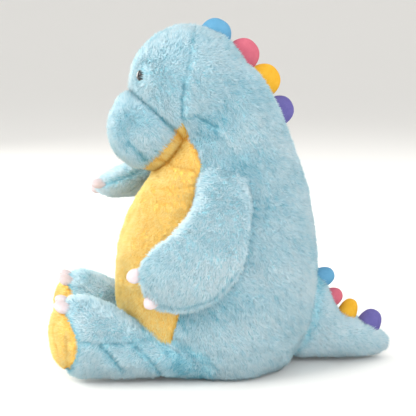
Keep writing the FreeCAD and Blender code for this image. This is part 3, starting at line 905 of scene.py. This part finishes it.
def comb_body(p):
    part = body_fields(p)[0][:, None]
    down = np.tile(TORSO_WAY, (len(p), 1))
    away = p - (MUZZLE + PARTING)
    away[:, 2] -= PARTING_RISE
    flow = np.where(part == ON_MUZZLE, unit(away), unit(down))
    over_head = unit(unit(p - EYE * [0, 1, 1]) + SKULL_WAY)
    flow = np.where(part == ON_SKULL, over_head, flow)
    beside = ((eye_distance(p) < BESIDE_EYE) & (np.abs(p[:, 0]) > EYE[0]))[:, None]
    flow = np.where(beside, EYE_WAY, flow)
    return flow + BODY_WAVES * noise_vector(p, BODY_WAVE_SIZE, 60)


def combed(p, way, seed):
    """The way pile lies that is brushed in one direction, with soft waves."""
    return np.tile(way, (len(p), 1)) + LIMB_WAVES * noise_vector(p, LIMB_WAVE_SIZE, seed)


def clad(form, body, materials=None, replaces=()):
    """Gives a skin its cloth and its place on a body."""
    form.data.materials.clear()
    for material in materials or [BLUE_BACK]:
        form.data.materials.append(material)
    smooth_shaded(form)
    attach(form, body)
    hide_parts(*replaces)


def paint(form, yellow):
    """Second material on the faces where yellow(points) is above 0."""
    p = coords(form)
    value = yellow(p)
    index = np.array([1 if value[list(f.vertices)].mean() > 0 else 0 for f in form.data.polygons], np.int32)
    form.data.polygons.foreach_set("material_index", index)


nodes = list(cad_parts)


def of_body(*starts):
    return [n for n in nodes if n.startswith(starts)]


body_form = make_body()
clad(body_form, "torso", materials=[BLUE_BACK, YELLOW_BACK],
     replaces=of_body("head_", "muzzle_", "chin_", "belly_", "torso_", "seat_"))
paint(body_form, lambda p: body_fields(p)[2])
pile("body_pile", body_form, "torso", body_blue, comb_body, BLUE, 11)
pile("belly_pile", body_form, "torso", body_yellow, comb_body, YELLOW, 12)


def sole_of(p):
    """Above 0 on the sole, in millimetres from its edge."""
    bulge = SOLE_BULGE * (1 - ((p[:, 2] - SOLE_MIDDLE) / SOLE_REACH) ** 2)
    return sole_value(p) + np.maximum(bulge, SOLE_LEAST)


def leg_blue(p):
    groove = np.maximum(bell(sole_of(p), 6.0), 0.6 * contact(torso_value(p)))
    groove = np.maximum(groove, bell(folds(p, LEG_LINES), 4.0))
    keep = (sole_of(p) < 0) & (p[:, 2] > LIMB_PILE_LOW)
    # painted shade: darker along the sole's edge, the leg's folds and where the leg meets the torso
    return keep, 1 - SEAM_SHORTENS * groove, tone_of(p) - SEAM_PAINTED_SHADE * groove


def leg_yellow(p):
    groove = bell(sole_of(p), 4.0)
    # painted shade: the sole's pile is darker along its edge
    return sole_of(p) >= 0, 1 - 0.2 * groove, SOLE_BASE + YELLOW_TONE * tone_of(p) - 0.4 * groove


def comb_leg(p):
    return combed(p, LEG_WAY, 70)


for side, name in ((1, "left"), (-1, "right")):
    leg = make_leg(side, name)
    clad(leg, name + "_leg", materials=[BLUE_BACK, YELLOW_BACK],
         replaces=["leg_fill_" + name, "leg_inner_cloth_" + name, "leg_outer_cloth_" + name, "sole_" + name])
    paint(leg, sole_of)
    pile("leg_pile_" + name, leg, name + "_leg", leg_blue, comb_leg, BLUE, 20 + side)
    pile("sole_pile_" + name, leg, name + "_leg", leg_yellow, comb_leg, YELLOW, 30 + side)

for stations, name, left in ((LEFT_ARM, "left", True), (RIGHT_ARM, "right", False)):
    arm = make_arm(stations, name, left)
    clad(arm, name + "_arm", replaces=[n for n in nodes if n.startswith("arm_") and n.endswith(name)])
    start, end = np.array(stations[0][:3]), np.array(stations[-1][:3])
    rows = arm_line(stations, left)

    def arm_all(p, rows=rows, left=left):
        groove = arm_groove(p, rows, left)
        # painted light on the arms' pile, and painted shade along their seam
        tone = tone_of(p) + ARM_PAINTED_LIGHT - ARM_SEAM_PAINTED_SHADE * groove
        return np.ones(len(p), bool), 1 - ARM_SHORTENS * groove, tone

    def comb_arm(p, way=unit(end - start)):
        return combed(p, way, 80)

    pile("arm_pile_" + name, arm, name + "_arm", arm_all, comb_arm, BLUE, 40 + left)

tail = make_tail()
clad(tail, "tail", replaces=["tail_fill", "tail_side_left", "tail_side_right"])


def tail_all(p):
    meet = contact(torso_value(p))
    # painted shade where the tail meets the torso
    return p[:, 2] > LIMB_PILE_LOW, 1 - SEAM_SHORTENS * meet, tone_of(p) - MEETING_PAINTED_SHADE * meet


def comb_tail(p):
    return combed(p, TAIL_WAY, 90)


pile("tail_pile", tail, "tail", tail_all, comb_tail, BLUE, 50)


# ---------------------------------------------------------------- spikes, claws and eyes

# base start (y, z), base end (y, z), how far it stands out; named as in the frame
SPIKES = {
    "spike_01_blue": ((-21, 396), (12, 378), 16), "spike_02_pink": ((14, 377), (40, 348), 18),
    "spike_03_yellow": ((39, 349), (61, 315), 20), "spike_04_purple": ((61, 314), (77, 282), 17),
    "spike_05_blue": ((120, 111), (129, 88), 13), "spike_06_pink": ((129, 85), (139, 63), 14),
    "spike_07_yellow": ((143, 61), (165, 52), 16), "spike_08_purple": ((168, 50), (194, 36), 16),
}
# the frame holds the spikes' fillings in three nodes, each of which goes with one spike
SPIKE_FILLS = {
    "spike_01_blue": ["spike_fills_head", "spike_fills_torso"],
    "spike_05_blue": ["spike_fills_tail"],
}
SPIKE_ROOT = 7.0  # how deep a spike is set into the back
SPIKE_HALF_THICKNESS = 10.0
SPIKE_TURNS = 72  # points round the outline
SPIKE_CORNER = 0.86  # under 1 makes the outline fuller than an ellipse
SPIKE_STITCHES = 26
PUCKER = 0.35
SPIKE_FIRST_ROW, SPIKE_ROWS = 0.12, 12  # rows of points from the middle to the outline
SPIKE_FLAT, SPIKE_EDGE = 2.4, 0.55  # how flat the felt is in the middle and how round at its edge
FIRST_ON_TAIL = 5
FELT = {
    "blue": cloth_material("felt_blue", colour(82, 140, 174), colour(100, 156, 190), 1600, 0.35, 0.3),
    "pink": cloth_material("felt_pink", colour(180, 86, 104), colour(196, 104, 120), 1600, 0.35, 0.3),
    "yellow": cloth_material("felt_yellow", colour(208, 152, 34), colour(222, 172, 58), 1600, 0.35, 0.3),
    "purple": cloth_material("felt_purple", colour(88, 82, 142), colour(106, 100, 160), 1600, 0.35, 0.3),
}


def make_spike(name, start, end, height):
    """Flat stuffed spike: two felt faces sewn along the outline, puckered by the thread."""
    base = np.array((0, start[0] + end[0], start[1] + end[1])) / 2
    run = np.array((0, end[0] - start[0], end[1] - start[1]), float)
    half_run = np.linalg.norm(run) / 2
    run = unit(run)
    outward = np.array((0, -run[2], run[1]))
    middle = base - outward * SPIKE_ROOT
    tall = height + SPIKE_ROOT
    reaches = np.sin(np.linspace(SPIKE_FIRST_ROW, math.pi / 2, SPIKE_ROWS))
    rows = len(reaches)
    back = 1 + rows * SPIKE_TURNS

    def rounded(value):
        return math.copysign(abs(value) ** SPIKE_CORNER, value)

    def at(face, row, step):
        hub = 0 if face > 0 or row == rows - 1 else back
        return hub + 1 + row * SPIKE_TURNS + step % SPIKE_TURNS

    points, faces = [], []
    for face in (1, -1):
        points.append(middle + np.array((face * SPIKE_HALF_THICKNESS, 0, 0)))
        for reach in reaches if face > 0 else reaches[:-1]:
            for step in range(SPIKE_TURNS):
                turn = 2 * math.pi * step / SPIKE_TURNS
                along = rounded(math.cos(turn)) * half_run * reach
                out = rounded(math.sin(turn)) * tall * reach
                swell = SPIKE_HALF_THICKNESS * (1 - reach**SPIKE_FLAT) ** SPIKE_EDGE
                pucker = PUCKER * math.sin(turn * SPIKE_STITCHES) * reach**8 * (reach < 1)
                thickness = np.array((face * (swell + pucker), 0, 0))
                points.append(middle + run * along + outward * out + thickness)
    for face in (1, -1):
        for step in range(SPIKE_TURNS):
            hub = 0 if face > 0 else back
            fan = (hub, at(face, 0, step), at(face, 0, step + 1))
            faces.append(fan if face > 0 else fan[::-1])
            for row in range(rows - 1):
                quad = (at(face, row, step), at(face, row + 1, step), at(face, row + 1, step + 1),
                        at(face, row, step + 1))
                faces.append(quad if face > 0 else quad[::-1])
    return face_outward(new_object(name + "_felt", np.array(points), faces))


for name, (start, end, height) in SPIKES.items():
    tint = name.split("_")[2]
    on_tail = int(name.split("_")[1]) >= FIRST_ON_TAIL
    spike = make_spike(name, start, end, height)
    clad(spike, "tail" if on_tail else "torso", materials=[FELT[tint]],
         replaces=[name] + SPIKE_FILLS.get(name, []))

CLAW_ROOT = 15.0  # how deep a claw is set through the pile into its seam
CLAW_REACH = 12.0
CLAW_HALF_WIDTH = 8.0
CLAW_HALF_THICKNESS = 6.3
# along the claw, and its share of the full width there
CLAW_PROFILE = [
    (-CLAW_ROOT, 0.55), (-9, 0.72), (-4, 0.9), (0, 1.0), (3.5, 1.02), (6.5, 0.92), (9, 0.72), (10.8, 0.45),
    (CLAW_REACH, 0.14),
]
CLAW_SEAM_DEPTH, CLAW_SEAM_WIDTH = 0.45, 0.9
CLAW_PUCKER, CLAW_STITCHES = 0.12, 3.2
CLAW = cloth_material("claw_velour", colour(196, 182, 185), colour(212, 200, 203), 1500, 0.3, 0.5)


def make_claw(name, body, place, direction, across):
    """Small stuffed velour claw, a blunt crowned cone with a seam down each edge."""
    place = np.array(place, float)
    forward = unit(np.array(direction, float))
    across = np.array(across, float)
    wide = unit(across - forward * (across @ forward))
    thick = np.cross(forward, wide)
    rings = [ring(place + forward * reach, wide, thick, CLAW_HALF_WIDTH * size, CLAW_HALF_THICKNESS * size)
             for reach, size in CLAW_PROFILE]
    form = loft(name + "_velour", rings)
    subdivided(form)
    p = coords(form)
    own = p - place
    edge = bell(own @ thick, CLAW_SEAM_WIDTH)
    pucker = CLAW_PUCKER * np.sin((own @ forward) * CLAW_STITCHES)
    set_coords(form, p - normals(form) * (edge * (CLAW_SEAM_DEPTH + pucker))[:, None])
    clad(form, body, materials=[CLAW], replaces=[name])


for side, name in ((1, "left"), (-1, "right")):
    for number, degrees in enumerate(FOOT_CLAW_ANGLES, start=1):
        angle = math.radians(degrees)
        radial = np.array((math.sin(angle), 0, math.cos(angle)))
        middle = np.array((side * HIP[0], HIP[1] - SOLE_START - FOOT_CLAW_AHEAD, SOLE_MIDDLE))
        make_claw("foot_claw_%d_%s" % (number, name), name + "_leg", middle + radial * FOOT_CLAW_RING,
                  radial * FOOT_CLAW_SPREAD + (0, -1.0, 0), (math.cos(angle), 0, -math.sin(angle)))
for number, (place, direction) in enumerate(LEFT_HAND_CLAWS, start=1):
    make_claw("hand_claw_%d_left" % number, "left_arm", place, direction, np.cross(direction, X_AXIS))
for number, (place, direction) in enumerate(RIGHT_HAND_CLAWS, start=1):
    make_claw("hand_claw_%d_right" % number, "right_arm", place, direction, (1, 0, 0.12))

EYE_BLACK = principled("eye_black", (0.006, 0.006, 0.008, 1), 0.08)[0]
EYE_BLACK.node_tree.nodes["Principled BSDF"].inputs["Specular IOR Level"].default_value = 0.5
WASHER = principled("washer_white", (0.75, 0.75, 0.74, 1), 0.5)[0]
for name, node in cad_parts.items():
    if name.startswith("eye"):
        node.data.materials.clear()
        node.data.materials.append(WASHER if "washer" in name else EYE_BLACK)


# ---------------------------------------------------------------- room, light and camera

MIDDLE = Vector((0, 0, 0.2))  # metres, as everything from here on
# radius and height of the floor's rings
FLOOR_ROWS = [
    (0.5, 0), (2, 0), (4, 0), (5, 0.03), (6, 0.14), (7, 0.42), (8, 0.95), (8.7, 1.7), (9, 2.6), (9.1, 3.6),
]
FLOOR_TURNS = 96


def area_light(name, place, size, power, tint):
    """Round soft light that faces the middle of the object."""
    data = bpy.data.lights.new(name, "AREA")
    data.shape = "DISK"
    data.size = size
    data.energy = power
    data.color = tint
    lamp = linked(name, data)
    lamp.location = place
    lamp.rotation_mode = "QUATERNION"
    lamp.rotation_quaternion = (MIDDLE - Vector(place)).to_track_quat("-Z", "Y")


def make_floor():
    """Round floor that rises to a rim far away on every side."""
    points, faces = [(0, 0, 0)], []
    for row, (radius, height) in enumerate(FLOOR_ROWS):
        for step in range(FLOOR_TURNS):
            turn = 2 * math.pi * step / FLOOR_TURNS
            points.append((radius * math.cos(turn) / MM, radius * math.sin(turn) / MM, height / MM))
            here, after = 1 + row * FLOOR_TURNS + step, 1 + row * FLOOR_TURNS + (step + 1) % FLOOR_TURNS
            if row:
                faces.append((here - FLOOR_TURNS, here, after, after - FLOOR_TURNS))
            else:
                faces.append((0, here, after))
    return new_object("floor", np.array(points, float), faces)


floor = make_floor()
smooth_shaded(floor)
floor.data.materials.append(principled("floor_matt", (0.88, 0.875, 0.86, 1), 0.8)[0])

world = bpy.data.worlds.new("studio")
world.use_nodes = True
world.node_tree.nodes["Background"].inputs["Color"].default_value = (0.93, 0.92, 0.90, 1)
world.node_tree.nodes["Background"].inputs["Strength"].default_value = 0.9
bpy.context.scene.world = world
bpy.context.scene.view_settings.view_transform = "Standard"

area_light("window", (0.7, -1.6, 1.3), 1.6, 33, (1, 0.98, 0.94))
area_light("fill", (1.9, 0.4, 0.9), 1.8, 27, (0.99, 0.99, 1))
area_light("far_side", (-1.6, -1.4, 0.7), 1.2, 28, (1, 0.98, 0.92))
area_light("rim", (-1.2, 1.5, 1.4), 1.4, 13, (1, 1, 1))

# the photo's own viewing angle
CAMERA_TARGET = Vector((0, -0.014, 0.184))
CAMERA_AZIMUTH, CAMERA_ELEVATION, CAMERA_DISTANCE = math.radians(85), math.radians(9), 1.4
CAMERA_LENS = 103.55
camera_data = bpy.data.cameras.new("camera")
camera_data.sensor_width = 36
camera_data.lens = CAMERA_LENS
camera = linked("camera", camera_data)
back = Vector((math.sin(CAMERA_AZIMUTH) * math.cos(CAMERA_ELEVATION),
               -math.cos(CAMERA_AZIMUTH) * math.cos(CAMERA_ELEVATION), math.sin(CAMERA_ELEVATION)))
camera.location = CAMERA_TARGET + back * CAMERA_DISTANCE
camera.rotation_mode = "QUATERNION"
camera.rotation_quaternion = (-back).to_track_quat("-Z", "Y")
bpy.context.scene.camera = camera
